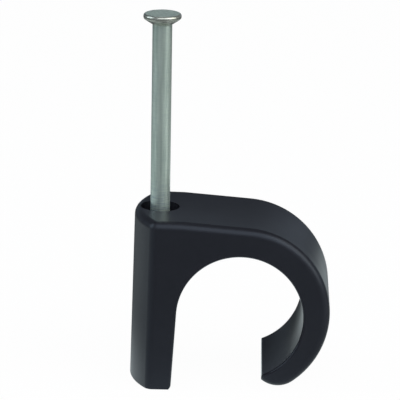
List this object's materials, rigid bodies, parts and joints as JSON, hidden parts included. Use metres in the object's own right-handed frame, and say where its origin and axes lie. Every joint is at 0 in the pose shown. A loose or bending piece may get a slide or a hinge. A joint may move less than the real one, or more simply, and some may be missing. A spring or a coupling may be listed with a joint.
{
  "type": "nail in cable clip",
  "caption": "Hook-shaped moulded plastic clip that holds a round cable to a wall, with a zinc-plated masonry nail part driven through its post.",
  "frame": {"origin": "on the nail's axis, in the plane of the post's foot that sits on the wall", "axes": "+X from the post to the hook, +Y along the cable, +Z out of the wall along the nail to its head"},
  "size_m": [0.0204, 0.0124, 0.0378],
  "materials": {
    "moulding": "satin",
    "plated_steel": "satin"
  },
  "bodies": {
    "clip": {"clip_body": "moulding"},
    "nail": {"nail": "plated_steel"}
  },
  "joints": [
    {"name": "nail_drive", "type": "slide", "parent": "clip", "child": "nail", "axis": [0, 0, -1], "range_m": [0, 0.021]}
  ]
}
